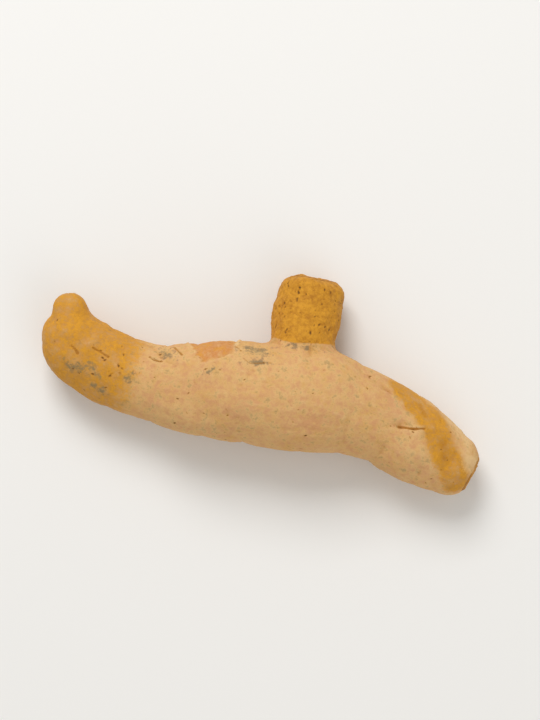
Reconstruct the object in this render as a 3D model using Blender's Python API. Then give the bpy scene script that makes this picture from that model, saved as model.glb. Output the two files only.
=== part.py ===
"""A dried turmeric finger: one piece of rhizome, lying on its side.

It runs along X, from its narrow bud tip at -X to its blunt broken base at +X. A short side branch,
broken off, points along +Y. It touches the surface at three places only: under its belly near the
tip, under its base, and under the end of the branch. The script works in millimetres and hands the
mesh to Blender in metres, with +Z up and the origin on the surface, under the middle of the piece.
"""

import math
from typing import NamedTuple

import bmesh
import bpy
import numpy as np
from mathutils import Vector, noise

MM = 0.001
NODE_NAME = "turmeric_finger"


class Station(NamedTuple):
    """A place on a centre line, its height above the surface, and the half width there."""

    x: float
    y: float
    z: float
    half_width: float


class Crease(NamedTuple):
    """A groove in the skin, or a ridge where depth is below 0.

    Each end is (along, around): along from the bud tip, around from the top line to the branch's side.
    """

    start: tuple
    end: tuple
    width: float
    depth: float


class Scar(NamedTuple):
    """The round mark that a root left. Its angle is 0 on the branch's side and 90 on top."""

    along: float
    angle: float
    radius: float


# The finger, from the bud tip to the base
FINGER = [
    Station(-32.8, 7.9, 6.2, 2.4),
    Station(-32.1, 5.6, 6.0, 2.8),
    Station(-31.3, 3.1, 5.6, 4.5),
    Station(-29.8, 0.8, 5.3, 5.5),
    Station(-26.3, -1.1, 5.1, 5.7),
    Station(-21.5, -2.1, 5.15, 5.8),
    Station(-17.0, -2.2, 5.6, 5.9),
    Station(-12.0, -1.6, 6.9, 6.9),
    Station(-5.5, -0.4, 7.8, 7.7),
    Station(2.0, 0.8, 8.1, 7.9),
    Station(8.5, 1.8, 7.8, 8.0),
    Station(14.0, 1.7, 7.0, 7.1),
    Station(20.0, 1.0, 6.0, 6.5),
    Station(26.0, -0.8, 5.5, 6.2),
    Station(31.0, -2.1, 5.1, 5.4),
    Station(35.9, -3.2, 5.0, 5.1),
]
FINGER_THICKNESS = 0.92  # height of the cross-section as a share of its width
TIP_CAP = 2.0  # length over which the bud tip rounds off
BASE_CAP = 5.0

# The side branch, from inside the finger to its broken end
BRANCH = [
    Station(5.3, 1.5, 7.8, 4.3),
    Station(4.7, 7.5, 7.3, 4.5),
    Station(4.3, 10.5, 6.4, 4.9),
    Station(4.0, 13.0, 5.4, 5.45),
    Station(3.7, 15.5, 4.8, 5.4),
    Station(3.5, 18.0, 4.65, 5.1),
    Station(3.3, 20.3, 4.6, 4.8),
]
BRANCH_THICKNESS = 0.93
BRANCH_CAP = 1.7

# Leaf scars ring the finger, closer together towards the bud tip and the base
FIRST_RING = 7.0
LAST_RING = 4.0  # the least distance from the last ring to the base
RING_GAP_AT_ENDS = 2.8
RING_GAP_IN_MIDDLE = 8.0
RING_LEAN = 0.9
RING_DEPTH = 0.24
RING_SHARE_ON_TOP = 0.6  # the upper side is worn smoother than the underside
RING_WIDTH = 0.75
RING_SHOULDER = 0.10  # how far the skin swells between two rings
BRANCH_RING_PLACES = (10.5, 15.2)

CREASES = [
    Crease((3.4, -3.0), (3.0, -6.0), 0.9, 0.45),
    Crease((34.3, 8.6), (34.2, 12.6), 0.6, 0.45),
    Crease((20.3, 7.2), (26.2, 3.4), 0.8, 0.30),
    Crease((49.5, 8.6), (57.0, 5.3), 0.6, 0.28),
    Crease((59.2, 0.4), (63.3, 3.1), 0.5, 0.36),
    Crease((63.2, 2.4), (67.2, 4.4), 0.7, -0.30),
    Crease((64.5, 1.8), (70.0, 0.2), 1.5, 0.35),
    Crease((64.0, 7.0), (69.5, 3.4), 0.8, -0.20),
]

# A tongue of skin torn off the upper side, with a raised lip along the edge towards the base
TEAR_POINT = (29.8, 3.9)
TEAR_LEFT_EDGE = (-0.50, 0.87)
TEAR_RIGHT_EDGE = (0.40, 0.92)
TEAR_REACH = 10.5
TEAR_DEPTH = 0.42
TEAR_LIP = 0.38

ROOT_SCARS = [
    Scar(9.5, 235, 0.8),
    Scar(15.0, 292, 1.0),
    Scar(21.5, 216, 1.1),
    Scar(26.0, 318, 0.9),
    Scar(33.5, 250, 1.2),
    Scar(36.5, 205, 0.9),
    Scar(43.0, 285, 1.1),
    Scar(50.5, 232, 1.2),
    Scar(52.0, 338, 0.9),
    Scar(58.5, 268, 1.0),
    Scar(61.5, 200, 1.1),
    Scar(67.0, 318, 0.9),
]
SCAR_DEPTH = 0.55
SCAR_RIM = 0.30

LUMP_SIZE = 8.0
LUMP_HEIGHT = 0.42
WRINKLE_LENGTH = 8.5
WRINKLE_WIDTH = 1.9
WRINKLE_HEIGHT = 0.20
BRANCH_GRAIN_SIZE = 2.3
BRANCH_GRAIN_HEIGHT = 0.26
BREAK_SIZE = 1.9  # size of the lumps on a broken face
BREAK_HEIGHT = 0.42
BREAK_DISH = 0.5  # how deep the middle of a broken face sinks
WORN_BELOW = 2.2  # relief fades under this height, so that the three rests stay level
WORN_SHARE = 0.25

SIDES = 56
FINGER_SECTIONS = 130
BRANCH_SECTIONS = 50
SKIN_GRID = 0.5  # spacing of the mesh that takes the relief
JOINT_SMOOTHING = 8
TRIANGLES = 9600


def smooth_line(stations, count):
    """Points and half widths on a smooth curve through the stations, closer together towards both ends."""
    knots = np.array(stations, float)
    steps = np.linalg.norm(np.diff(knots[:, :3], axis=0), axis=1)
    at = np.concatenate([[0], np.cumsum(steps)])
    slopes = np.gradient(knots, at, axis=0)
    along = at[-1] * (1 - np.cos(np.linspace(0, math.pi, count))) / 2
    left = np.clip(np.searchsorted(at, along, side="right") - 1, 0, len(at) - 2)
    span = (at[left + 1] - at[left])[:, None]
    t = (along - at[left])[:, None] / span
    line = (
        (2 * t**3 - 3 * t**2 + 1) * knots[left]
        + (t**3 - 2 * t**2 + t) * span * slopes[left]
        + (3 * t**2 - 2 * t**3) * knots[left + 1]
        + (t**3 - t**2) * span * slopes[left + 1]
    )
    return line[:, :3], line[:, 3], along


def cross_axes(points):
    """The directions forwards, across and upwards at each point of a line."""
    forwards = np.gradient(points, axis=0)
    forwards /= np.linalg.norm(forwards, axis=1)[:, None]
    across = np.cross((0, 0, 1), forwards)
    across /= np.linalg.norm(across, axis=1)[:, None]
    return forwards, across, np.cross(forwards, across)


def rounded_ends(along, first_cap, last_cap):
    """1 along the middle, curving in to 0 at each end."""
    share = np.ones_like(along)
    for distance, cap in ((along, first_cap), (along[-1] - along, last_cap)):
        past = np.clip(1 - distance / cap, 0, 1)
        share *= np.sqrt(1 - past**2)
    return share


def loft(name, stations, sections, thickness, first_cap, last_cap):
    """A closed round body along the stations."""
    centres, half_widths, along = smooth_line(stations, sections)
    half_widths = half_widths * rounded_ends(along, first_cap, last_cap)
    _, across, up = cross_axes(centres)
    angles = np.linspace(0, 2 * math.pi, SIDES, endpoint=False)
    mesh = bmesh.new()
    rings = []
    for i in range(1, sections - 1):
        points = centres[i] + half_widths[i] * (
            np.outer(np.cos(angles), across[i]) + thickness * np.outer(np.sin(angles), up[i])
        )
        rings.append([mesh.verts.new(p * MM) for p in points])
    for near, far in zip(rings, rings[1:]):
        for i in range(SIDES):
            j = (i + 1) % SIDES
            mesh.faces.new((near[i], near[j], far[j], far[i]))
    for centre, ring in ((centres[0], rings[0]), (centres[-1], rings[-1])):
        pole = mesh.verts.new(centre * MM)
        for i in range(SIDES):
            mesh.faces.new((ring[i], ring[(i + 1) % SIDES], pole))
    bmesh.ops.recalc_face_normals(mesh, faces=mesh.faces)
    data = bpy.data.meshes.new(name)
    mesh.to_mesh(data)
    mesh.free()
    made = bpy.data.objects.new(name, data)
    bpy.context.scene.collection.objects.link(made)
    return made


def apply_modifiers(piece):
    """Turns the shape that the piece's modifiers give into its own mesh."""
    graph = bpy.context.evaluated_depsgraph_get()
    shaped = bpy.data.meshes.new_from_object(piece.evaluated_get(graph))
    piece.modifiers.clear()
    piece.data = shaped


def join_branch(finger, branch):
    """Fuses the branch into the finger and gives both one even skin, with a soft joint between them."""
    union = finger.modifiers.new("join_branch", "BOOLEAN")
    union.operation = "UNION"
    union.object = branch
    skin = finger.modifiers.new("even_skin", "REMESH")
    skin.mode = "VOXEL"
    skin.voxel_size = SKIN_GRID * MM
    soften = finger.modifiers.new("soften_joint", "SMOOTH")
    soften.iterations = JOINT_SMOOTHING
    apply_modifiers(finger)
    bpy.data.objects.remove(branch)


class Places:
    """Where each point of the skin lies, measured along and around a centre line."""

    def __init__(self, points, stations, sections, thickness):
        centres, half_widths, at = smooth_line(stations, sections)
        forwards, across, up = cross_axes(centres)
        gaps = np.linalg.norm(points[:, None] - centres[None], axis=2)
        near = gaps.argmin(axis=1)
        offset = points - centres[near]
        ahead = (offset * forwards[near]).sum(axis=1)
        self.length = at[-1]
        self.along = at[near] + ahead
        self.half_width = half_widths[near]
        sideways = (offset * across[near]).sum(axis=1)
        upwards = (offset * up[near]).sum(axis=1) / thickness
        self.angle = np.arctan2(upwards, sideways)
        self.fill = np.hypot(sideways, upwards) / self.half_width
        turned = (math.pi / 2 - self.angle + math.pi) % (2 * math.pi) - math.pi
        self.around = turned * self.half_width


def smoothstep(low, high, value):
    t = np.clip((value - low) / (high - low), 0, 1)
    return t * t * (3 - 2 * t)


def noise_at(points, shift=0.0):
    """Smooth noise between -1 and 1 at each point."""
    return np.array([noise.noise(Vector(p)) for p in points + shift])


def ring_places(length):
    """How far along each leaf scar lies."""
    places = []
    along = FIRST_RING
    while along < length - LAST_RING:
        places.append(along)
        swell = math.sin(math.pi * along / length)
        along += RING_GAP_AT_ENDS + (RING_GAP_IN_MIDDLE - RING_GAP_AT_ENDS) * swell
    return places


def ring_relief(skin, points, places):
    """A step at each leaf scar, deeper on some sides than others, and a swelling between two scars."""
    height = np.zeros(len(points))
    nearest = np.full(len(points), np.inf)
    strength = np.clip(0.6 + 1.3 * noise_at(points / 4.5, 7.3), 0.05, 1.3)
    strength *= RING_SHARE_ON_TOP + (1 - RING_SHARE_ON_TOP) * smoothstep(0.5, -0.5, np.sin(skin.angle))
    wobble = 0.7 * noise_at(points / 3.0, 21.9)
    for number, place in enumerate(places):
        lean = RING_LEAN * np.cos(skin.angle - 2.4 * number)
        distance = (skin.along - place - lean - wobble) / RING_WIDTH
        nearest = np.minimum(nearest, np.abs(distance) * RING_WIDTH)
        groove = np.exp(-(distance**2))
        ridge = 0.55 * np.exp(-((distance + 1.5) ** 2))
        height += RING_DEPTH * strength * (ridge - groove)
    return height + RING_SHOULDER * smoothstep(0, 3.0, nearest)


def wrinkle_relief(skin, points):
    """Low wrinkles that run lengthwise, as the finger shrank when it dried."""
    rounds = skin.half_width / WRINKLE_WIDTH
    stretched = np.stack(
        [
            skin.along / WRINKLE_LENGTH,
            rounds * np.cos(skin.angle),
            rounds * np.sin(skin.angle),
        ],
        axis=1,
    )
    return WRINKLE_HEIGHT * noise_at(stretched, 3.1)


def crease_relief(skin, crease):
    start = np.array(crease.start)
    run = np.array(crease.end) - start
    offset = np.stack([skin.along, skin.around], axis=1) - start
    share = np.clip(offset @ run / (run @ run), 0, 1)
    distance = np.linalg.norm(offset - share[:, None] * run, axis=1)
    return -crease.depth * np.exp(-((distance / crease.width) ** 2))


def tear_relief(skin):
    """The sunken tongue where skin is missing, and the lip that stands up along one edge."""
    along = skin.along - TEAR_POINT[0]
    around = skin.around - TEAR_POINT[1]
    from_left = along * TEAR_LEFT_EDGE[1] - around * TEAR_LEFT_EDGE[0]
    from_right = around * TEAR_RIGHT_EDGE[0] - along * TEAR_RIGHT_EDGE[1]
    inside = np.minimum(np.minimum(from_left, from_right), TEAR_REACH - around)
    in_reach = smoothstep(0, 1.5, around) * smoothstep(0, 1.5, TEAR_REACH - around)
    lip = np.exp(-(((from_right + 0.5) / 0.55) ** 2)) * in_reach
    return TEAR_LIP * lip - TEAR_DEPTH * smoothstep(-0.1, 0.8, inside)


def scar_relief(skin, scar):
    turned = (skin.angle - math.radians(scar.angle) + math.pi) % (2 * math.pi) - math.pi
    distance = np.hypot(skin.along - scar.along, turned * skin.half_width) / scar.radius
    pit = np.exp(-((distance / 0.6) ** 2))
    rim = np.exp(-(((distance - 1.15) / 0.4) ** 2))
    return SCAR_RIM * rim - SCAR_DEPTH * pit


def break_relief(points, ahead, fill):
    """The rough, slightly dished face where a piece was broken off. ahead is the distance past its edge."""
    on_face = smoothstep(0.0, 0.8, ahead)
    dish = -BREAK_DISH * (1 - smoothstep(0.15, 0.75, fill))
    return on_face * (dish + BREAK_HEIGHT * noise_at(points / BREAK_SIZE, 11.7))


def raise_relief(finger):
    """Moves each point of the skin out or in along its normal."""
    mesh = finger.data
    points = np.empty(len(mesh.vertices) * 3)
    normals = np.empty(len(mesh.vertices) * 3)
    mesh.vertices.foreach_get("co", points)
    mesh.vertices.foreach_get("normal", normals)
    points = points.reshape(-1, 3) / MM
    normals = normals.reshape(-1, 3)

    skin = Places(points, FINGER, FINGER_SECTIONS, FINGER_THICKNESS)
    body = ring_relief(skin, points, ring_places(skin.length)) + wrinkle_relief(skin, points)
    body += tear_relief(skin)
    for crease in CREASES:
        body += crease_relief(skin, crease)
    for scar in ROOT_SCARS:
        body += scar_relief(skin, scar)
    body += break_relief(points, skin.along - skin.length + 1.2, skin.fill)

    twig = Places(points, BRANCH, BRANCH_SECTIONS, BRANCH_THICKNESS)
    side = BRANCH_GRAIN_HEIGHT * noise_at(points / BRANCH_GRAIN_SIZE, 5.7)
    side += 0.6 * ring_relief(twig, points, BRANCH_RING_PLACES)
    side += break_relief(points, twig.along - twig.length + 0.7, twig.fill)

    on_branch = smoothstep(1.08, 1.35, skin.fill) * (twig.fill < 1.5)
    relief = body + (side - body) * on_branch + LUMP_HEIGHT * noise_at(points / LUMP_SIZE, 1.3)
    relief *= WORN_SHARE + (1 - WORN_SHARE) * smoothstep(0, WORN_BELOW, points[:, 2])
    mesh.vertices.foreach_set("co", ((points + relief[:, None] * normals) * MM).reshape(-1))
    mesh.update()


def flatten_rests(finger):
    """Trims what lies below the surface, which leaves three small flat rests."""
    box = bmesh.new()
    bmesh.ops.create_cube(box, size=200 * MM)
    bmesh.ops.translate(box, verts=box.verts, vec=(0, 0, -100 * MM))
    data = bpy.data.meshes.new("below_surface")
    box.to_mesh(data)
    box.free()
    below = bpy.data.objects.new("below_surface", data)
    bpy.context.scene.collection.objects.link(below)
    trim = finger.modifiers.new("flat_rests", "BOOLEAN")
    trim.operation = "DIFFERENCE"
    trim.object = below
    apply_modifiers(finger)
    bpy.data.objects.remove(below)


def thin_out(finger):
    """Leaves fewer, larger triangles where the skin is even."""
    thin = finger.modifiers.new("thin_out", "DECIMATE")
    thin.ratio = TRIANGLES / sum(len(face.vertices) - 2 for face in finger.data.polygons)
    apply_modifiers(finger)


def centre(finger):
    """Puts the origin on the surface, under the middle of the piece."""
    corners = [vertex.co for vertex in finger.data.vertices]
    low = [min(c[axis] for c in corners) for axis in range(3)]
    high = [max(c[axis] for c in corners) for axis in range(3)]
    middle = Vector(((low[0] + high[0]) / 2, (low[1] + high[1]) / 2, low[2]))
    for vertex in finger.data.vertices:
        vertex.co -= middle


def skin_material():
    """Dusty, ochre dried skin."""
    material = bpy.data.materials.new("dried_turmeric_skin")
    material.use_nodes = True
    shader = material.node_tree.nodes["Principled BSDF"]
    shader.inputs["Base Color"].default_value = (0.68, 0.39, 0.09, 1)
    shader.inputs["Roughness"].default_value = 0.85
    shader.inputs["Metallic"].default_value = 0
    return material


def main():
    for old in list(bpy.data.objects):
        bpy.data.objects.remove(old)
    finger = loft(NODE_NAME, FINGER, FINGER_SECTIONS, FINGER_THICKNESS, TIP_CAP, BASE_CAP)
    branch = loft("branch", BRANCH, BRANCH_SECTIONS, BRANCH_THICKNESS, 1.0, BRANCH_CAP)
    join_branch(finger, branch)
    raise_relief(finger)
    thin_out(finger)
    flatten_rests(finger)
    centre(finger)
    finger.data.materials.clear()
    finger.data.materials.append(skin_material())
    finger.data.shade_smooth()


main()
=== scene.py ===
"""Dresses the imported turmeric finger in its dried, dusty skin and sets the stage round it.

The finger's solid is copied, made fine and smooth, and sculpted: leaf scars, a torn place, a crack,
root scars and two broken faces. Geometry Nodes then raise the wrinkles and the grain that cover it
and sink its pits. Places on the skin are (along, around): millimetres along the finger from its bud
tip, and around it from the line along its top, positive towards the side branch.
"""

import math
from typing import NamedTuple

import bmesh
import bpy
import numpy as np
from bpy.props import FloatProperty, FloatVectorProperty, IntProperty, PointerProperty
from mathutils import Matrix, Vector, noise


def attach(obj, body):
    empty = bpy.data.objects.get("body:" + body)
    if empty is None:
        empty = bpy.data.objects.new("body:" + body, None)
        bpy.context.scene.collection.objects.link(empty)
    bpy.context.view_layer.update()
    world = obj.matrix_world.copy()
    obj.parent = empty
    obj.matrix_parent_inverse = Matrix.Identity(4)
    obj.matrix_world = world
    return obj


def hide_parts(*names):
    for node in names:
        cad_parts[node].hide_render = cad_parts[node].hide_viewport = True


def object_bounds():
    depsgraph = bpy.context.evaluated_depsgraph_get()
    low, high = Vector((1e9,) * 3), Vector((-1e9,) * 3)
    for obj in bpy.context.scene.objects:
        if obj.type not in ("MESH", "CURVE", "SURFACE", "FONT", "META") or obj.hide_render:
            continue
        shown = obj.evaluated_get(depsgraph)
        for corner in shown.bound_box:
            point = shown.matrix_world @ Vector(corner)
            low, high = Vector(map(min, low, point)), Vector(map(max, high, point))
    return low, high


bl_info = {
    "name": "Dried Turmeric Finger",
    "version": (1, 0, 0),
    "blender": (4, 5, 0),
    "location": "View3D > Sidebar > Turmeric",
    "description": "Dresses the turmeric finger in its dried skin and sets the stage round it",
    "category": "Object",
}

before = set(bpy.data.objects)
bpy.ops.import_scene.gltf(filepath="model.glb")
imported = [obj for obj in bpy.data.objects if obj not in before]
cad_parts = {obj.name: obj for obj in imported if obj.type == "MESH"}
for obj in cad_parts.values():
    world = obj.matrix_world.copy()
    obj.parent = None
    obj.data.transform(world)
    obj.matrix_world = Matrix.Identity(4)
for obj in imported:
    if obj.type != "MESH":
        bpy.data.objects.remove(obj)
CAD_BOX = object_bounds()

MM = 0.001
NODE = "turmeric_finger"
MATH = "ShaderNodeMath"
VECTOR_MATH = "ShaderNodeVectorMath"


class Station(NamedTuple):
    """A place on a centre line, its height above the surface, and the half width there."""

    x: float
    y: float
    z: float
    half_width: float


class Patch(NamedTuple):
    """A soft-edged mark on the skin: its middle, its reach both ways, and its turn in degrees."""

    along: float
    around: float
    reach: float
    width: float
    turn: float = 0.0


class Line(NamedTuple):
    """A thin line on the skin through a few places, with its width and depth."""

    places: list
    width: float
    depth: float


class Scar(NamedTuple):
    """The round mark that a root left. Its angle is 0 on the branch's side and 90 on top."""

    along: float
    angle: float
    radius: float


# The centre lines of the finger and its branch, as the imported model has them, in millimetres. They
# are drawn in a frame whose origin lies beside the finger, and the model's middle is here in it.
DRAWN_MIDDLE = (0.12, 5.919, 0.0)
FINGER = [
    Station(-32.8, 7.9, 6.2, 2.4),
    Station(-32.1, 5.6, 6.0, 2.8),
    Station(-31.3, 3.1, 5.6, 4.5),
    Station(-29.8, 0.8, 5.3, 5.5),
    Station(-26.3, -1.1, 5.1, 5.7),
    Station(-21.5, -2.1, 5.15, 5.8),
    Station(-17.0, -2.2, 5.6, 5.9),
    Station(-12.0, -1.6, 6.9, 6.9),
    Station(-5.5, -0.4, 7.8, 7.7),
    Station(2.0, 0.8, 8.1, 7.9),
    Station(8.5, 1.8, 7.8, 8.0),
    Station(14.0, 1.7, 7.0, 7.1),
    Station(20.0, 1.0, 6.0, 6.5),
    Station(26.0, -0.8, 5.5, 6.2),
    Station(31.0, -2.1, 5.1, 5.4),
    Station(35.9, -3.2, 5.0, 5.1),
]
FINGER_THICKNESS = 0.92
BRANCH = [
    Station(5.3, 1.5, 7.8, 4.3),
    Station(4.7, 7.5, 7.3, 4.5),
    Station(4.3, 10.5, 6.4, 4.9),
    Station(4.0, 13.0, 5.4, 5.45),
    Station(3.7, 15.5, 4.8, 5.4),
    Station(3.5, 18.0, 4.65, 5.1),
    Station(3.3, 20.3, 4.6, 4.8),
]
BRANCH_THICKNESS = 0.93
LINE_POINTS = 160
MERGE_DISTANCE = 1e-6
SOFTEN_STEPS = 8

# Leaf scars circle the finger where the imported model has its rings
FIRST_RING = 7.0
LAST_RING = 4.0
RING_GAP_AT_ENDS = 2.8
RING_GAP_IN_MIDDLE = 8.0
RING_LEAN = 0.9
RING_LEDGE = 0.13
RING_LEDGE_LENGTH = 1.3
RING_GROOVE = 0.12
RING_GROOVE_WIDTH = 0.16
RING_SHARE_ON_TOP = 0.12
BRANCH_RING_PLACES = (10.5, 15.2)

# A tongue of skin torn off the upper side, with a raised lip at its end towards the base
TEAR_POINT = (30.1, 3.9)
TEAR_LEFT_EDGE = (-0.44, 0.90)
TEAR_RIGHT_EDGE = (0.86, 0.51)
TEAR_END = 34.3
TEAR_REACH = 13.2
TEAR_DEPTH = 0.16
TEAR_LIP = 0.34
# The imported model's tear is narrower, so the skin fills it before it gets its own
PACKED_TEAR_POINT = (29.8, 3.9)
PACKED_TEAR_LEFT_EDGE = (-0.50, 0.87)
PACKED_TEAR_RIGHT_EDGE = (0.40, 0.92)
PACKED_TEAR_REACH = 10.5
PACKED_TEAR_DEPTH = 0.42
PACKED_TEAR_LIP = 0.38

CRACK = Line([(60.1, 0.6), (61.2, 1.1), (62.4, 1.6), (63.8, 2.6)], 0.16, 0.30)
HAIRLINES = [
    Line([(7.7, -0.5), (8.5, -0.4), (9.3, -0.6)], 0.17, 0.15),
    Line([(10.6, 1.6), (12.2, 1.8), (13.9, 1.7)], 0.15, 0.13),
    Line([(21.2, 4.2), (22.5, 3.9), (24.3, 4.0)], 0.13, 0.10),
    Line([(25.4, 7.3), (26.3, 6.3), (27.0, 5.5)], 0.13, 0.11),
    Line([(35.4, 6.0), (36.8, 5.0), (39.8, 5.4)], 0.13, 0.07),
    Line([(34.6, 7.9), (35.4, 7.0)], 0.14, 0.10),
]

ROOT_SCARS = [
    Scar(9.5, 235, 0.8),
    Scar(15.0, 292, 1.0),
    Scar(21.5, 216, 1.1),
    Scar(26.0, 318, 0.9),
    Scar(33.5, 250, 1.2),
    Scar(36.5, 205, 0.9),
    Scar(43.0, 285, 1.1),
    Scar(50.5, 232, 1.2),
    Scar(52.0, 338, 0.9),
    Scar(58.5, 268, 1.0),
    Scar(61.5, 200, 1.1),
    Scar(67.0, 318, 0.9),
]
SCAR_CORE = 0.22
SCAR_MOAT = 0.16
SCAR_CORE_SHARE = 0.26  # the core's and the moat's places and widths are shares of a scar's radius
SCAR_MOAT_AT = 0.52
SCAR_MOAT_SHARE = 0.16

BREAK_GRAIN = 0.7
BREAK_HEIGHT = 0.14
BREAK_RING_AT = 0.62  # a broken face shows the ring round its core here, as a share of its width
BREAK_RING_DEPTH = 0.10
BASE_BREAK_REACH = 1.2  # how far a break is bare back from its end
BRANCH_BREAK_REACH = 0.7

# The relief that Geometry Nodes make
WRINKLE_STRETCH = 0.17  # wrinkles are about six times as long as they are wide
WRINKLE_VALLEY = 0.35
WRINKLED_PATCH = 6 * MM
PIT_SHIFT = (0.1, 0.1, 0.1)  # the seed moves the pits along this
PIT_TURN = 1.1  # how far a pit turns from the finger's length, at most, in radians
PIT_EDGE = 0.4 * MM
SMALLEST_PIT = 0.05
CROWDED_PATCH = 4 * MM
HOLLOW_BLUR = 14
BUMP_HEIGHT = 0.09 * MM

# Where the skin is coloured otherwise than its dusty ochre
GOLDEN_TO = 20.5  # the bud end is golden up to here
GOLDEN_FADE = 9.0
GOLDEN_MOST = 0.38  # the finger keeps some dust where it is rubbed
BRANCH_GOLDEN = 2
GOLDEN_BAND = [
    (58.8, 7.4),
    (61.6, 5.7),
    (64.9, 4.4),
    (66.2, 2.9),
    (67.8, 1.4),
    (70.6, -0.2),
    (73.2, -3.2),
]
GOLDEN_BAND_WIDTH = 2.8
RUSTY_PATCHES = [
    Patch(67.8, 1.9, 1.8, 1.1, -35),
    Patch(69.0, 0.2, 1.3, 0.8, -30),
    Patch(62.0, 5.6, 2.4, 0.7, -40),
    Patch(62.0, 1.4, 2.2, 0.35, 27),
]
ROSY_PATCHES = [
    Patch(3.8, -1.8, 2.6, 1.8, 10),
    Patch(28.7, 0.7, 1.6, 1.2, 60),
    Patch(26.3, -0.3, 1.2, 0.9, 0),
    Patch(23.5, -2.5, 1.3, 1.0, 20),
    Patch(36.5, -2.0, 2.6, 1.3, 20),
    Patch(47.0, -3.0, 3.0, 1.3, 10),
    Patch(57.0, 4.0, 3.0, 1.2, -35),
]
STAIN_PATCHES = [
    Patch(10.6, -2.5, 2.6, 1.6, 10),
    Patch(12.6, -1.2, 2.2, 0.9, -20),
    Patch(14.8, -3.6, 2.6, 1.1, -15),
    Patch(18.4, -0.2, 1.9, 1.2, 15),
    Patch(24.2, 6.0, 2.6, 1.4, -35),
    Patch(22.6, 4.0, 2.2, 0.5, -6),
    Patch(31.8, 3.0, 1.6, 0.6, 30),
    Patch(37.4, 7.6, 3.8, 2.0, -10),
    Patch(38.0, 5.2, 3.0, 0.7, 5),
    Patch(44.0, 9.5, 3.0, 0.9, 0),
]
PALE_PATCHES = [
    Patch(69.5, 6.6, 5.0, 2.4, -35),
    Patch(73.4, 2.6, 2.6, 3.2, 0),
    Patch(34.5, 9.0, 0.7, 2.6, 0),
]
SPECKLED_PATCHES = [
    Patch(15.5, 0.5, 9.5, 5.5, 0),
    Patch(24.0, 6.0, 5.0, 2.5, -20),
]


def linear(hex_colour):
    """An sRGB hex colour as Blender's linear red, green, blue and alpha."""
    parts = [int(hex_colour[i : i + 2], 16) / 255 for i in (1, 3, 5)]
    return tuple(c / 12.92 if c <= 0.04045 else ((c + 0.055) / 1.055) ** 2.4 for c in parts) + (1.0,)


def colour(name, description, hex_colour):
    return FloatVectorProperty(
        name=name,
        description=description,
        default=linear(hex_colour),
        subtype="COLOR",
        size=4,
        min=0,
        max=1,
    )


def length(name, description, millimetres):
    return FloatProperty(
        name=name,
        description=description,
        default=millimetres * MM,
        unit="LENGTH",
        precision=5,
    )


class TurmericSkin(bpy.types.PropertyGroup):
    """Sizes of the relief that covers the finger."""

    grid: length("Grid", "Spacing of the fine mesh", 0.22)
    pit_spacing: length("Pit spacing", "Mean distance between two pits", 0.95)
    pit_length: length("Pit length", "Length of a large pit", 0.80)
    pit_width: length("Pit width", "Width of a large pit", 0.40)
    pit_depth: length("Pit depth", "Depth of a large pit", 0.16)
    wrinkle_width: length("Wrinkle width", "Distance between lengthwise wrinkles", 1.1)
    wrinkle_depth: length("Wrinkle depth", "Depth of a lengthwise wrinkle", 0.07)
    grain_size: length("Grain size", "Size of the skin's coarse grain", 1.0)
    grain_depth: length("Grain depth", "Height of the skin's coarse grain", 0.30)
    seed: IntProperty(name="Seed", description="Sets where the pits and the grain fall", default=3, min=0)


class TurmericColours(bpy.types.PropertyGroup):
    """Colours of the finger's skin."""

    dusty: colour("Dusty", "Skin under a bloom of its own powder", "#DEB377")
    ochre: colour("Ochre", "Bare dry skin", "#D3A05A")
    rosy: colour("Rosy", "Rosy mottling in the dusty skin", "#CF9468")
    golden: colour("Golden", "Skin rubbed clean of powder", "#DA9A27")
    # Deep also paints the shade in the skin's hollows, as well as the darker rubbed skin
    deep: colour("Deep", "Rubbed skin in the hollows", "#A5670C")
    orange: colour("Orange", "Flesh where the skin is gone", "#C98240")
    olive: colour("Olive", "Old stains from boiling", "#7F7354")
    # Pale also paints the highlight on the skin's ridges, beside the truly worn pale patches
    pale: colour("Pale", "Raised skin worn pale", "#E8C48D")
    dark: colour("Dark", "The bottoms of pits and cracks", "#4A3314")


class TurmericStage(bpy.types.PropertyGroup):
    """The camera, the lights and the floor."""

    lens: FloatProperty(name="Lens", description="Focal length in millimetres", default=150, min=20)
    view_width: length("View width", "Width of the surface that the camera sees", 83.5)
    roll: FloatProperty(
        name="Roll",
        description="Turn of the camera, which tilts the finger down to the right",
        default=math.radians(15),
        unit="ROTATION",
    )
    floor: colour("Floor", "Plain pale floor", "#F1F0EE")
    key_power: FloatProperty(name="Key light", description="Power in watts", default=2.3, min=0)
    fill_power: FloatProperty(name="Fill light", description="Power in watts", default=0.6, min=0)
    ambient: FloatProperty(
        name="Ambient",
        description="Strength of the light all round",
        default=0.52,
        min=0,
    )


def smoothstep(low, high, value):
    t = np.clip((value - low) / (high - low), 0, 1)
    return t * t * (3 - 2 * t)


def noise_at(points, shift=0.0):
    """Smooth noise between -1 and 1 at each point."""
    return np.array([noise.noise(Vector(p)) for p in points + shift])


def smooth_line(stations):
    """Points, half widths and distances on a smooth curve through the stations."""
    knots = np.array(stations, float)
    steps = np.linalg.norm(np.diff(knots[:, :3], axis=0), axis=1)
    at = np.concatenate([[0], np.cumsum(steps)])
    slopes = np.gradient(knots, at, axis=0)
    along = np.linspace(0, at[-1], LINE_POINTS)
    left = np.clip(np.searchsorted(at, along, side="right") - 1, 0, len(at) - 2)
    span = (at[left + 1] - at[left])[:, None]
    t = (along - at[left])[:, None] / span
    line = (
        (2 * t**3 - 3 * t**2 + 1) * knots[left]
        + (t**3 - 2 * t**2 + t) * span * slopes[left]
        + (3 * t**2 - 2 * t**3) * knots[left + 1]
        + (t**3 - t**2) * span * slopes[left + 1]
    )
    return line[:, :3], line[:, 3], along


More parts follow.
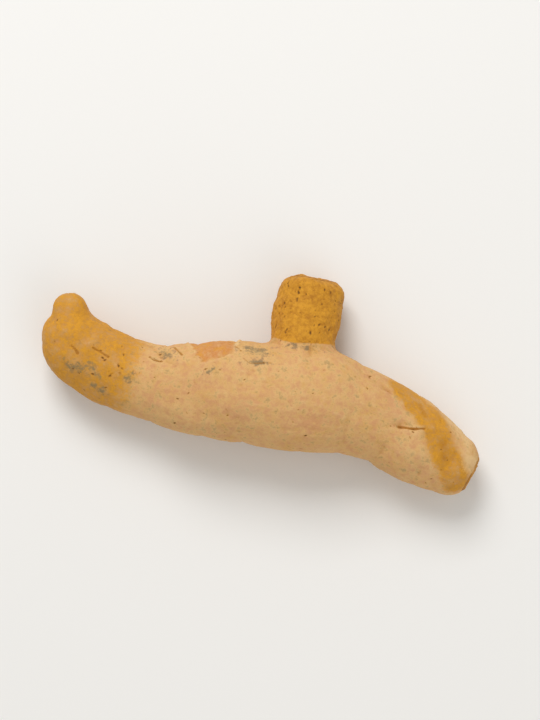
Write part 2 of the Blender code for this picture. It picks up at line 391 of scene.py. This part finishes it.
class Places:
    """Where each point of the skin lies, measured along and around a centre line."""

    def __init__(self, points, stations, thickness):
        centres, half_widths, at = smooth_line(stations)
        forwards = np.gradient(centres, axis=0)
        forwards /= np.linalg.norm(forwards, axis=1)[:, None]
        across = np.cross((0, 0, 1), forwards)
        across /= np.linalg.norm(across, axis=1)[:, None]
        up = np.cross(forwards, across)
        gaps = (centres**2).sum(axis=1) - 2 * points @ centres.T
        near = gaps.argmin(axis=1)
        offset = points - centres[near]
        self.length = at[-1]
        self.along = at[near] + (offset * forwards[near]).sum(axis=1)
        self.half_width = half_widths[near]
        sideways = (offset * across[near]).sum(axis=1)
        upwards = (offset * up[near]).sum(axis=1) / thickness
        self.angle = np.arctan2(upwards, sideways)
        self.fill = np.hypot(sideways, upwards) / self.half_width
        turned = (math.pi / 2 - self.angle + math.pi) % (2 * math.pi) - math.pi
        self.around = turned * self.half_width

    def unrolled(self):
        """The place as a point on a straight bar of the finger's thickness, which has no seam."""
        sideways = self.half_width * np.cos(self.angle)
        upwards = self.half_width * np.sin(self.angle)
        return np.stack([self.along, sideways, upwards], axis=1)


def patch_field(skin, patch):
    """1 in the patch's middle, 0 at its edge and below 0 outside."""
    turn = math.radians(patch.turn)
    along = skin.along - patch.along
    around = skin.around - patch.around
    forwards = along * math.cos(turn) + around * math.sin(turn)
    sideways = around * math.cos(turn) - along * math.sin(turn)
    return 1 - np.hypot(forwards / patch.reach, sideways / patch.width)


def most(fields):
    return np.max(list(fields), axis=0)


def line_distance(skin, places):
    """How far each point lies from a line on the skin."""
    here = np.stack([skin.along, skin.around], axis=1)
    nearest = np.full(len(here), np.inf)
    for start, end in zip(places, places[1:]):
        start = np.array(start)
        run = np.array(end) - start
        share = np.clip((here - start) @ run / (run @ run), 0, 1)
        nearest = np.minimum(nearest, np.linalg.norm(here - start - share[:, None] * run, axis=1))
    return nearest


def ring_places(total):
    """How far along each leaf scar lies."""
    places = []
    along = FIRST_RING
    while along < total - LAST_RING:
        places.append(along)
        swell = math.sin(math.pi * along / total)
        along += RING_GAP_AT_ENDS + (RING_GAP_IN_MIDDLE - RING_GAP_AT_ENDS) * swell
    return places


def leaf_scars(skin, points, places):
    """The thin ledge and the hairline groove at each leaf scar: their height, and where the line is."""
    height = np.zeros(len(points))
    line = np.zeros(len(points))
    strength = np.clip(0.35 + 1.6 * noise_at(points / 3.1, 7.3), 0, 1)
    upper = smoothstep(-0.5, 0.7, np.sin(skin.angle))
    strength *= 1 - (1 - RING_SHARE_ON_TOP) * upper
    wobble = 0.7 * noise_at(points / 3.0, 21.9) + 0.16 * noise_at(points / 0.7, 3.9)
    for number, place in enumerate(places):
        lean = RING_LEAN * np.cos(skin.angle - 2.4 * number)
        past = skin.along - place - lean - wobble
        ledge = smoothstep(-RING_LEDGE_LENGTH, -0.15, past) * smoothstep(0.12, -0.12, past)
        groove = np.exp(-(((past - 0.1) / RING_GROOVE_WIDTH) ** 2))
        height += strength * (RING_LEDGE * ledge - RING_GROOVE * groove)
        line = np.maximum(line, strength * groove)
    return height, line


def between_edges(skin, point, left_edge, right_edge):
    """How far inside a wedge each point lies, from its left and from its right edge."""
    along = skin.along - point[0]
    around = skin.around - point[1]
    from_left = along * left_edge[1] - around * left_edge[0]
    from_right = around * right_edge[0] - along * right_edge[1]
    return from_left, from_right


def packed_tear(skin):
    """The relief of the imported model's own tear."""
    edges = (PACKED_TEAR_POINT, PACKED_TEAR_LEFT_EDGE, PACKED_TEAR_RIGHT_EDGE)
    from_left, from_right = between_edges(skin, *edges)
    around = skin.around - PACKED_TEAR_POINT[1]
    inside = np.minimum(np.minimum(from_left, from_right), PACKED_TEAR_REACH - around)
    in_reach = smoothstep(0, 1.5, around) * smoothstep(0, 1.5, PACKED_TEAR_REACH - around)
    lip = np.exp(-(((from_right + 0.5) / 0.55) ** 2)) * in_reach
    return PACKED_TEAR_LIP * lip - PACKED_TEAR_DEPTH * smoothstep(-0.1, 0.8, inside)


def tear(skin, points):
    """The torn tongue's field, above 0 where the skin is gone, its relief, and its lip."""
    from_left, from_right = between_edges(skin, TEAR_POINT, TEAR_LEFT_EDGE, TEAR_RIGHT_EDGE)
    ragged = 0.45 * noise_at(points / 1.1, 4.4) + 0.2 * noise_at(points / 0.45, 9.1)
    inside = np.minimum(np.minimum(from_left, from_right), TEAR_END - skin.along) + ragged
    inside = np.where(skin.around > 0, np.minimum(inside, TEAR_REACH - skin.around + ragged), -1)
    lip = np.exp(-(((skin.along - TEAR_END - 0.35 + ragged) / 0.4) ** 2))
    lip *= smoothstep(6.0, 8.5, skin.around) * smoothstep(14.5, 12.0, skin.around)
    relief = TEAR_LIP * lip - TEAR_DEPTH * smoothstep(-0.15, 0.15, inside)
    return inside, relief - packed_tear(skin), lip


def root_scars(skin):
    """The raised core and the moat of each root scar: their height, and where the moat is."""
    height = np.zeros(len(skin.along))
    moats = np.zeros(len(skin.along))
    for scar in ROOT_SCARS:
        turned = (skin.angle - math.radians(scar.angle) + math.pi) % (2 * math.pi) - math.pi
        distance = np.hypot(skin.along - scar.along, turned * skin.half_width) / scar.radius
        core = np.exp(-((distance / SCAR_CORE_SHARE) ** 2))
        moat = np.exp(-(((distance - SCAR_MOAT_AT) / SCAR_MOAT_SHARE) ** 2))
        height += SCAR_CORE * core - SCAR_MOAT * moat
        moats = np.maximum(moats, moat)
    return height, moats


def broken_face(points, skin, overlap):
    """Where a broken end is bare, and its relief: coarse grain and the ring round the core."""
    ragged = 0.3 * noise_at(points / 1.3, 6.2)
    bare = smoothstep(-0.15, 0.25, skin.along - skin.length + overlap + ragged)
    ring = np.exp(-(((skin.fill - BREAK_RING_AT + 0.1 * ragged) / 0.06) ** 2))
    grain = noise_at(points / BREAK_GRAIN, 2.8)
    return bare, bare * (BREAK_HEIGHT * grain - BREAK_RING_DEPTH * ring), bare * ring


def sculpt(points, normals):
    """Carves what has its own place on the skin. Gives the new points and the marks to colour by."""
    drawn = points + DRAWN_MIDDLE
    skin = Places(drawn, FINGER, FINGER_THICKNESS)
    twig = Places(drawn, BRANCH, BRANCH_THICKNESS)
    on_branch = smoothstep(1.02, 1.25, skin.fill) * (twig.fill < 1.6)

    rings, ring_line = leaf_scars(skin, drawn, ring_places(skin.length))
    torn, torn_relief, lip = tear(skin, drawn)
    scars, moats = root_scars(skin)
    base, base_relief, base_ring = broken_face(drawn, skin, BASE_BREAK_REACH)
    body = rings + torn_relief + scars + base_relief
    lines = most([ring_line, moats, base_ring])
    wander = 0.12 * noise_at(drawn / 0.9, 1.9)
    for line in HAIRLINES + [CRACK]:
        groove = np.exp(-(((line_distance(skin, line.places) + wander) / line.width) ** 2))
        body -= line.depth * groove
        lines = np.maximum(lines, groove * min(1, line.depth / 0.12))

    twig_rings, twig_line = leaf_scars(twig, drawn, BRANCH_RING_PLACES)
    end, end_relief, end_ring = broken_face(drawn, twig, BRANCH_BREAK_REACH)
    side = 0.6 * twig_rings + end_relief

    relief = body + (side - body) * on_branch
    marks = {
        "golden": most(
            [
                (GOLDEN_TO - skin.along) / GOLDEN_FADE,
                1 - line_distance(skin, GOLDEN_BAND) / GOLDEN_BAND_WIDTH,
            ]
        ),
        "torn": torn,
        "rusty": most(patch_field(skin, p) for p in RUSTY_PATCHES),
        "rosy": most(patch_field(skin, p) for p in ROSY_PATCHES),
        "stained": most(patch_field(skin, p) for p in STAIN_PATCHES),
        "pale": np.maximum(most(patch_field(skin, p) for p in PALE_PATCHES), 1.6 * lip - 0.6),
        "speckled": most(patch_field(skin, p) for p in SPECKLED_PATCHES),
        "under": smoothstep(0.25, -0.35, np.sin(skin.angle)),
        "broken": base + (end - base) * on_branch,
        "line": lines + (np.maximum(twig_line, end_ring) - lines) * on_branch,
        "on_branch": on_branch,
    }
    for name in ("torn", "rusty", "rosy", "stained", "pale", "speckled"):
        marks[name] = np.clip(marks[name], -1, 1) * (1 - on_branch) - on_branch
    marks["golden"] = np.clip(marks["golden"], -1, GOLDEN_MOST)
    marks["golden"] += (BRANCH_GOLDEN - marks["golden"]) * on_branch
    marks["speckled"] = np.maximum(marks["speckled"], 0.9 * on_branch)
    beyond = np.array((skin.length + 20, 0, 0))
    far = (on_branch > 0.5)[:, None]
    marks["unrolled"] = np.where(far, twig.unrolled() + beyond, skin.unrolled()) * MM
    return points + relief[:, None] * normals, marks


def fine_copy(node, grid):
    """A fine, even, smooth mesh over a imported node's shape."""
    body = bmesh.new()
    body.from_mesh(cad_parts[node].data)
    bmesh.ops.remove_doubles(body, verts=body.verts, dist=MERGE_DISTANCE)
    data = bpy.data.meshes.new(node + "_skin")
    body.to_mesh(data)
    body.free()
    piece = bpy.data.objects.new(node + "_skin", data)
    bpy.context.scene.collection.objects.link(piece)
    round_off = piece.modifiers.new("round_off", "SUBSURF")
    round_off.levels = 1
    round_off.render_levels = 1
    even = piece.modifiers.new("even", "REMESH")
    even.mode = "VOXEL"
    even.voxel_size = grid
    soften = piece.modifiers.new("soften", "SMOOTH")
    soften.iterations = SOFTEN_STEPS
    bake_modifiers(piece)
    return piece


def bake_modifiers(piece):
    """Turns the shape that the piece's modifiers give into its own mesh."""
    graph = bpy.context.evaluated_depsgraph_get()
    shaped = bpy.data.meshes.new_from_object(piece.evaluated_get(graph))
    piece.modifiers.clear()
    old = piece.data
    piece.data = shaped
    bpy.data.meshes.remove(old)


def read_mesh(mesh):
    """Every point in millimetres, and every normal."""
    points = np.empty(len(mesh.vertices) * 3)
    normals = np.empty(len(mesh.vertices) * 3)
    mesh.vertices.foreach_get("co", points)
    mesh.vertices.foreach_get("normal", normals)
    return points.reshape(-1, 3) / MM, normals.reshape(-1, 3)


def write_points(mesh, points):
    mesh.vertices.foreach_set("co", (points * MM).reshape(-1))
    mesh.update()


def store(mesh, name, values):
    """Keeps one number or one vector for each point, for the skin's nodes to read."""
    kind, key = ("FLOAT", "value") if values.ndim == 1 else ("FLOAT_VECTOR", "vector")
    attribute = mesh.attributes.new(name, kind, "POINT")
    attribute.data.foreach_set(key, np.ascontiguousarray(values, np.float32).reshape(-1))


def add(tree, kind, inputs=(), **settings):
    """Adds a node to the tree, sets its properties, and fills its inputs with values or links, in
    order or by name. Gives its outputs."""
    made = tree.nodes.new(kind)
    for name, value in settings.items():
        setattr(made, name, value)
    for key, value in inputs.items() if isinstance(inputs, dict) else enumerate(inputs):
        if isinstance(value, bpy.types.NodeSocket):
            tree.links.new(value, made.inputs[key])
        else:
            made.inputs[key].default_value = value
    return made.outputs


def weighted_sum(tree, *terms, base=0.0):
    """The base with each term's value times its weight added to it."""
    total = base
    for value, weight in terms:
        total = add(tree, MATH, (value, weight, total), operation="MULTIPLY_ADD")[0]
    return total


def product(tree, first, *others):
    """The first value times all the others."""
    for value in others:
        first = add(tree, MATH, (first, value), operation="MULTIPLY")[0]
    return first


RELIEF_INPUTS = {
    "Pit Spacing": "pit_spacing",
    "Pit Length": "pit_length",
    "Pit Width": "pit_width",
    "Pit Depth": "pit_depth",
    "Wrinkle Width": "wrinkle_width",
    "Wrinkle Depth": "wrinkle_depth",
    "Grain Size": "grain_size",
    "Grain Depth": "grain_depth",
}


def relief_tree():
    """Raises grain and wrinkles on the skin and sinks pits into it. It stores how deep in a pit each
    place is, and how hollow the skin is there."""
    tree = bpy.data.node_groups.new("skin_relief", "GeometryNodeTree")
    tree.is_modifier = True
    face = tree.interface
    face.new_socket("Geometry", in_out="INPUT", socket_type="NodeSocketGeometry")
    for name in RELIEF_INPUTS:
        face.new_socket(name, in_out="INPUT", socket_type="NodeSocketFloat")
    face.new_socket("Seed", in_out="INPUT", socket_type="NodeSocketInt")
    face.new_socket("Material", in_out="INPUT", socket_type="NodeSocketMaterial")
    face.new_socket("Geometry", in_out="OUTPUT", socket_type="NodeSocketGeometry")
    given = add(tree, "NodeGroupInput")

    def mottle(place, size, detail=2.0, roughness=0.5):
        """Noise between 0 and 1 with features of about this size."""
        inputs = {
            "Vector": place,
            "W": given["Seed"],
            "Scale": add(tree, MATH, (1.0, size), operation="DIVIDE")[0],
            "Detail": detail,
            "Roughness": roughness,
        }
        return add(tree, "ShaderNodeTexNoise", inputs, noise_dimensions="4D")[0]

    position = add(tree, "GeometryNodeInputPosition")[0]
    normal = add(tree, "GeometryNodeInputNormal")[0]
    marks = {}
    for name in ("unrolled", "on_branch", "speckled", "under"):
        kind = "FLOAT_VECTOR" if name == "unrolled" else "FLOAT"
        made = add(tree, "GeometryNodeInputNamedAttribute", {"Name": name}, data_type=kind)
        marks[name] = made["Attribute"]
    unrolled = marks["unrolled"]

    # Wrinkles are sharp valleys between rounded ridges, and run lengthwise
    stretched = add(tree, VECTOR_MATH, (unrolled, (WRINKLE_STRETCH, 1, 1)), operation="MULTIPLY")[0]
    swell = mottle(stretched, given["Wrinkle Width"], 1.5)
    waves = add(tree, MATH, (weighted_sum(tree, (swell, 2.0), base=-1.0),), operation="ABSOLUTE")[0]
    steep = add(tree, MATH, (waves, WRINKLE_VALLEY), operation="DIVIDE")[0]
    valley = add(tree, MATH, (1.0, steep), operation="SUBTRACT", use_clamp=True)[0]
    patches = (mottle(position, WRINKLED_PATCH), 3.0, -0.9)
    patchy = add(tree, MATH, patches, operation="MULTIPLY_ADD", use_clamp=True)[0]
    off_branch = weighted_sum(tree, (marks["on_branch"], -0.7), base=1.0)
    wrinkle = product(tree, valley, patchy, off_branch, given["Wrinkle Depth"], -1.0)

    # The grain is coarser on the branch and underneath
    grain = weighted_sum(tree, (mottle(position, given["Grain Size"], 3.0, 0.62), 1.0), base=-0.5)
    coarse = weighted_sum(tree, (marks["under"], 0.35), (marks["on_branch"], 0.9), base=0.75)
    grain = product(tree, grain, coarse, given["Grain Depth"])

    # Each pit is a short lens, turned at random, whose middle is a cell's point
    shift = add(tree, VECTOR_MATH, {0: PIT_SHIFT, "Scale": given["Seed"]}, operation="SCALE")[0]
    seeded = add(tree, VECTOR_MATH, (unrolled, shift), operation="ADD")[0]
    density = add(tree, MATH, (1.0, given["Pit Spacing"]), operation="DIVIDE")[0]
    cell = add(tree, "ShaderNodeTexVoronoi", {"Vector": seeded, "Scale": density})
    away = add(tree, VECTOR_MATH, (seeded, cell["Position"]), operation="SUBTRACT")[0]
    section = add(tree, VECTOR_MATH, (unrolled, (0, 1, 1)), operation="MULTIPLY")[0]
    outwards = add(tree, VECTOR_MATH, (section,), operation="NORMALIZE")[0]
    around = add(tree, VECTOR_MATH, ((1, 0, 0), outwards), operation="CROSS_PRODUCT")[0]
    forwards = add(tree, "ShaderNodeSeparateXYZ", (away,))[0]
    sideways = add(tree, VECTOR_MATH, (away, around), operation="DOT_PRODUCT")["Value"]
    inwards = add(tree, VECTOR_MATH, (away, outwards), operation="DOT_PRODUCT")["Value"]
    chance = add(tree, "FunctionNodeSeparateColor", (cell["Color"],))
    turn = weighted_sum(tree, (chance[0], 2 * PIT_TURN), base=-PIT_TURN)
    cosine = add(tree, MATH, (turn,), operation="COSINE")[0]
    sine = add(tree, MATH, (turn,), operation="SINE")[0]
    lengths = weighted_sum(tree, (forwards, cosine), (sideways, sine))
    widths = weighted_sum(tree, (sideways, cosine), (product(tree, forwards, sine), -1.0))
    shares = []
    for distance, size in ((lengths, "Pit Length"), (widths, "Pit Width"), (inwards, "Pit Length")):
        shares.append(add(tree, MATH, (distance, given[size]), operation="DIVIDE")[0])
    spread = add(tree, "ShaderNodeCombineXYZ", shares)[0]
    out = add(tree, VECTOR_MATH, (spread,), operation="LENGTH")["Value"]

    # Pits are larger and closer together on speckled skin and underneath
    speckled = weighted_sum(tree, (marks["speckled"], 0.55), base=0.35)
    below = product(tree, marks["under"], 0.5)
    crowding = add(tree, MATH, (speckled, below), operation="MAXIMUM")[0]
    crowding = weighted_sum(tree, (mottle(position, CROWDED_PATCH), 0.8), (crowding, 1.0), base=-0.4)
    size = weighted_sum(tree, (crowding, 1.0), (chance[1], 1.0), base=-0.75)
    size = add(tree, MATH, (size, SMALLEST_PIT), operation="MAXIMUM")[0]
    ragged = weighted_sum(tree, (mottle(position, PIT_EDGE), 0.9), base=-0.45)
    reach = add(tree, MATH, (product(tree, out, 2.0), size), operation="DIVIDE")[0]
    pit = weighted_sum(tree, (reach, -1.0), (ragged, 1.0), base=1.0)
    sunk = add(tree, MATH, (pit, 1.6), operation="MULTIPLY", use_clamp=True)[0]
    pit_height = product(tree, sunk, size, given["Pit Depth"], -1.0)

    height = weighted_sum(tree, (wrinkle, 1.0), (grain, 1.0), (pit_height, 1.0))
    offset = add(tree, VECTOR_MATH, {0: normal, "Scale": height}, operation="SCALE")[0]
    moved = add(tree, "GeometryNodeSetPosition", {"Geometry": given["Geometry"], "Offset": offset})[0]
    # How hollow the skin is here: the skin's colour turns this into painted shade in hollows and painted
    # highlight on ridges
    blur = {"Value": position, "Iterations": HOLLOW_BLUR}
    blurred = add(tree, "GeometryNodeBlurAttribute", blur, data_type="FLOAT_VECTOR")[0]
    gap = add(tree, VECTOR_MATH, (blurred, position), operation="SUBTRACT")[0]
    hollow = add(tree, VECTOR_MATH, (gap, normal), operation="DOT_PRODUCT")["Value"]
    hollow = add(tree, MATH, (hollow, MM), operation="DIVIDE")[0]
    for name, value in (("pit", pit), ("hollow", hollow)):
        kept = {"Geometry": moved, "Name": name, "Value": value}
        moved = add(tree, "GeometryNodeStoreNamedAttribute", kept, data_type="FLOAT")[0]
    whole = add(tree, "GeometryNodeRealizeInstances", {"Geometry": moved})[0]
    dressed = {"Geometry": whole, "Material": given["Material"]}
    add(tree, "NodeGroupOutput", (add(tree, "GeometryNodeSetMaterial", dressed)[0],))
    return tree


def set_inputs(modifier, values):
    """Sets a tree's named inputs on the modifier, by their identifiers."""
    for item in modifier.node_group.interface.items_tree:
        if item.item_type == "SOCKET" and item.in_out == "INPUT" and item.name in values:
            modifier[item.identifier] = values[item.name]


def layered(tree, tint, *layers):
    """Lays colours over the tint in turn. Each layer has its colour and its field, the values at which
    the field starts to show it and shows it fully, and how strong it is there."""
    for over, field, low, high, strength in layers:
        inputs = {"Value": field, "From Min": low, "From Max": high, "To Max": strength}
        cover = add(tree, "ShaderNodeMapRange", inputs, interpolation_type="SMOOTHSTEP")[0]
        tint = add(tree, "ShaderNodeMix", {0: cover, 6: tint, 7: over}, data_type="RGBA")[2]
    return tint


def skin_material(colours):
    """Dried turmeric skin: boiled, sun dried and tumbled, so it is matt and dusty, with golden rubbed
    places, orange flesh where skin is missing, olive stains and dark pits."""
    material = bpy.data.materials.new("dried_turmeric_skin")
    material.use_nodes = True
    tree = material.node_tree
    shader = tree.nodes["Principled BSDF"]
    place = add(tree, "ShaderNodeTexCoord")["Object"]

    def mottle(millimetres, detail, roughness=0.6):
        """Noise between -1 and 1 with features of about this size."""
        scale = 1 / (millimetres * MM)
        inputs = {"Vector": place, "Scale": scale, "Detail": detail, "Roughness": roughness}
        return weighted_sum(tree, (add(tree, "ShaderNodeTexNoise", inputs)[0], 2.0), base=-1.0)

    broad = mottle(7.0, 4)
    middling = mottle(2.4, 5, 0.65)
    spots = mottle(1.15, 2)
    small = mottle(0.7, 4, 0.75)
    tiny = mottle(0.2, 3, 0.7)
    patchy = weighted_sum(tree, (small, 0.6), (middling, 0.7))
    marks = {}
    for name in ("golden", "torn", "rusty", "rosy", "stained", "pale", "broken", "line", "pit", "hollow"):
        marks[name] = add(tree, "ShaderNodeAttribute", attribute_name=name)["Fac"]

    # The dusty body, with rosy and greyish spots a millimetre wide, painted highlight on its ridges and
    # painted shade in its hollows
    dustiness = weighted_sum(tree, (broad, 0.5), (patchy, 1.0))
    rosiness = weighted_sum(tree, (marks["rosy"], 0.12), (spots, 1.0), (small, 1.0))
    greyness = weighted_sum(tree, (middling, 0.5), (spots, -1.0), (small, -1.0))
    tint = layered(
        tree,
        colours.ochre,
        (colours.dusty, dustiness, -0.7, 0.3, 1.0),
        (colours.rosy, rosiness, -0.4, 0.45, 0.75),
        (colours.olive, greyness, 0.1, 0.7, 0.42),
        # Painted highlight: the pale colour lightens the skin wherever it bulges out
        (colours.pale, marks["hollow"], -0.02, -0.08, 0.25),
        # Painted shade: the deep colour darkens the skin wherever it is hollow
        (colours.deep, marks["hollow"], 0.01, 0.07, 0.35),
    )

    # Golden where it is rubbed, deeper in patches, and stained by many small grey-green specks
    goldness = weighted_sum(tree, (middling, 0.5), (small, 1.0))
    golds = layered(tree, colours.deep, (colours.golden, goldness, -0.75, 0.5, 1.0))
    rubbed = weighted_sum(tree, (patchy, 0.7), (marks["golden"], 1.0))
    paleness = weighted_sum(tree, (marks["pale"], 1.0), (patchy, 1.0))
    rustiness = weighted_sum(tree, (patchy, 1.8), (marks["rusty"], 1.0))
    stain = weighted_sum(tree, (marks["stained"], 0.8), (small, 1.3), (spots, 1.0))
    tint = layered(
        tree,
        tint,
        (golds, rubbed, -0.05, 0.5, 1.0),
        (colours.pale, paleness, 0.1, 0.7, 0.7),
        (colours.deep, rustiness, -0.1, 1.2, 0.6),
        (colours.olive, stain, 0.15, 0.85, 0.8),
    )

    # Bare flesh in the tear and on the broken ends
    flesh = layered(
        tree,
        colours.orange,
        (colours.rosy, small, -0.3, 0.4, 0.6),
        (colours.golden, weighted_sum(tree, (spots, 1.0), (middling, 1.0)), -0.3, 0.6, 0.6),
        (colours.dusty, weighted_sum(tree, (small, 1.0), (spots, -1.0)), 0.0, 0.7, 0.5),
    )
    torn = weighted_sum(tree, (patchy, 0.6), (marks["torn"], 1.0))
    bare = layered(tree, colours.deep, (colours.golden, small, -0.3, 0.4, 1.0))

    # Lines and pits go dark in their middles, and a fine grain of both shades lies over all
    faint_line = weighted_sum(tree, (small, 0.3), (marks["line"], 1.0))
    dark_line = weighted_sum(tree, (small, 0.5), (marks["line"], 1.0))
    range_of_rubbed = {"Value": rubbed, "From Min": -0.05, "From Max": 0.5}
    rubbed_share = add(tree, "ShaderNodeMapRange", range_of_rubbed, interpolation_type="SMOOTHSTEP")[0]
    tint = layered(
        tree,
        tint,
        (flesh, torn, -0.2, 0.5, 0.9),
        (bare, marks["broken"], 0.3, 0.7, 0.8),
        (colours.deep, faint_line, 0.1, 0.6, 0.7),
        (colours.dark, dark_line, 0.75, 1.1, 0.65),
        (colours.deep, marks["pit"], -0.5, 0.2, 0.6),
        (colours.dark, marks["pit"], 0.05, 0.45, 0.8),
        (colours.pale, tiny, 0.1, 0.6, weighted_sum(tree, (rubbed_share, -0.2), base=0.3)),
        (colours.deep, tiny, -0.1, -0.6, 0.35),
    )

    # Rubbed skin has a slight shine, and the dust has none
    rough = weighted_sum(tree, (middling, 0.08), (rubbed_share, -0.15), base=0.84)
    height = weighted_sum(tree, (small, 0.6), (tiny, 0.7))
    bump = {"Strength": 0.8, "Distance": BUMP_HEIGHT, "Height": height}
    tree.links.new(tint, shader.inputs["Base Color"])
    tree.links.new(rough, shader.inputs["Roughness"])
    tree.links.new(add(tree, "ShaderNodeBump", bump)[0], shader.inputs["Normal"])
    shader.inputs["IOR"].default_value = 1.45
    shader.inputs["Specular IOR Level"].default_value = 0.35
    shader.inputs["Sheen Weight"].default_value = 0.1
    shader.inputs["Sheen Roughness"].default_value = 0.6
    shader.inputs["Sheen Tint"].default_value = colours.pale
    return material


class TURMERIC_OT_finger(bpy.types.Operator):
    """Makes the finger's fine skin over its solid"""

    bl_idname = "turmeric.finger"
    bl_label = "Finger"

    def execute(self, context):
        sizes = context.scene.turmeric_skin
        piece = fine_copy(NODE, sizes.grid)
        points, marks = sculpt(*read_mesh(piece.data))
        write_points(piece.data, points)
        for name, values in marks.items():
            store(piece.data, name, values)
        relief = piece.modifiers.new("skin_relief", "NODES")
        relief.node_group = relief_tree()
        inputs = {name: getattr(sizes, key) for name, key in RELIEF_INPUTS.items()}
        inputs["Seed"] = sizes.seed
        inputs["Material"] = skin_material(context.scene.turmeric_colours)
        set_inputs(relief, inputs)
        bake_modifiers(piece)
        points, _ = read_mesh(piece.data)
        points[:, 2] = np.maximum(points[:, 2], 0)
        write_points(piece.data, points)
        piece.data.shade_smooth()
        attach(piece, "root")
        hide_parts(NODE)
        return {"FINISHED"}


class TURMERIC_OT_stage(bpy.types.Operator):
    """Sets the floor, the lights and the camera"""

    bl_idname = "turmeric.stage"
    bl_label = "Stage"

    def execute(self, context):
        settings = context.scene.turmeric_stage
        low, high = (Vector(corner) for corner in CAD_BOX)
        middle = (low + high) / 2
        self.floor(context, settings)
        self.light(context, "key", (-0.22, 0.36, 0.45), 0.30, settings.key_power, middle)
        self.light(context, "fill", (0.40, -0.30, 0.30), 0.50, settings.fill_power, middle)
        self.camera(context, settings, middle)
        world = bpy.data.worlds.new("studio")
        context.scene.world = world
        world.use_nodes = True
        sky = world.node_tree.nodes["Background"]
        sky.inputs["Color"].default_value = linear("#FFFDF8")
        sky.inputs["Strength"].default_value = settings.ambient
        context.scene.view_settings.view_transform = "Standard"
        return {"FINISHED"}

    def floor(self, context, settings):
        """Matt uncoated paper, so it takes soft shadows and shows no shine."""
        sheet = bmesh.new()
        bmesh.ops.create_grid(sheet, x_segments=1, y_segments=1, size=3.0)
        data = bpy.data.meshes.new("floor")
        sheet.to_mesh(data)
        sheet.free()
        floor = bpy.data.objects.new("floor", data)
        context.scene.collection.objects.link(floor)
        material = bpy.data.materials.new("matt_paper_floor")
        material.use_nodes = True
        shader = material.node_tree.nodes["Principled BSDF"]
        shader.inputs["Base Color"].default_value = settings.floor
        shader.inputs["Roughness"].default_value = 0.9
        shader.inputs["Specular IOR Level"].default_value = 0.1
        data.materials.append(material)

    def light(self, context, name, place, size, power, target):
        data = bpy.data.lights.new(name, "AREA")
        data.energy = power
        data.size = size
        lamp = bpy.data.objects.new(name, data)
        lamp.location = place
        lamp.rotation_euler = (target - Vector(place)).to_track_quat("-Z", "Y").to_euler()
        context.scene.collection.objects.link(lamp)

    def camera(self, context, settings, middle):
        data = bpy.data.cameras.new("camera")
        data.lens = settings.lens
        data.sensor_fit = "HORIZONTAL"
        data.clip_start = 0.01
        camera = bpy.data.objects.new("camera", data)
        away = settings.view_width * settings.lens / data.sensor_width
        camera.location = (middle.x, middle.y, middle.z + away)
        camera.rotation_euler = (0, 0, settings.roll)
        context.scene.collection.objects.link(camera)
        context.scene.camera = camera


class TURMERIC_PT_panel(bpy.types.Panel):
    """Lists the finger's settings and steps"""

    bl_idname = "TURMERIC_PT_panel"
    bl_label = "Turmeric"
    bl_space_type = "VIEW_3D"
    bl_region_type = "UI"
    bl_category = "Turmeric"

    def draw(self, context):
        scene = context.scene
        for group in (scene.turmeric_skin, scene.turmeric_colours, scene.turmeric_stage):
            for name in group.__annotations__:
                self.layout.prop(group, name)
        self.layout.operator(TURMERIC_OT_finger.bl_idname)
        self.layout.operator(TURMERIC_OT_stage.bl_idname)


CLASSES = (
    TurmericSkin,
    TurmericColours,
    TurmericStage,
    TURMERIC_OT_finger,
    TURMERIC_OT_stage,
    TURMERIC_PT_panel,
)


def register():
    for each in CLASSES:
        bpy.utils.register_class(each)
    bpy.types.Scene.turmeric_skin = PointerProperty(type=TurmericSkin)
    bpy.types.Scene.turmeric_colours = PointerProperty(type=TurmericColours)
    bpy.types.Scene.turmeric_stage = PointerProperty(type=TurmericStage)


def unregister():
    del bpy.types.Scene.turmeric_stage
    del bpy.types.Scene.turmeric_colours
    del bpy.types.Scene.turmeric_skin
    for each in reversed(CLASSES):
        bpy.utils.unregister_class(each)


def main():
    register()
    bpy.ops.turmeric.finger()
    bpy.ops.turmeric.stage()


if __name__ == "__main__":
    main()
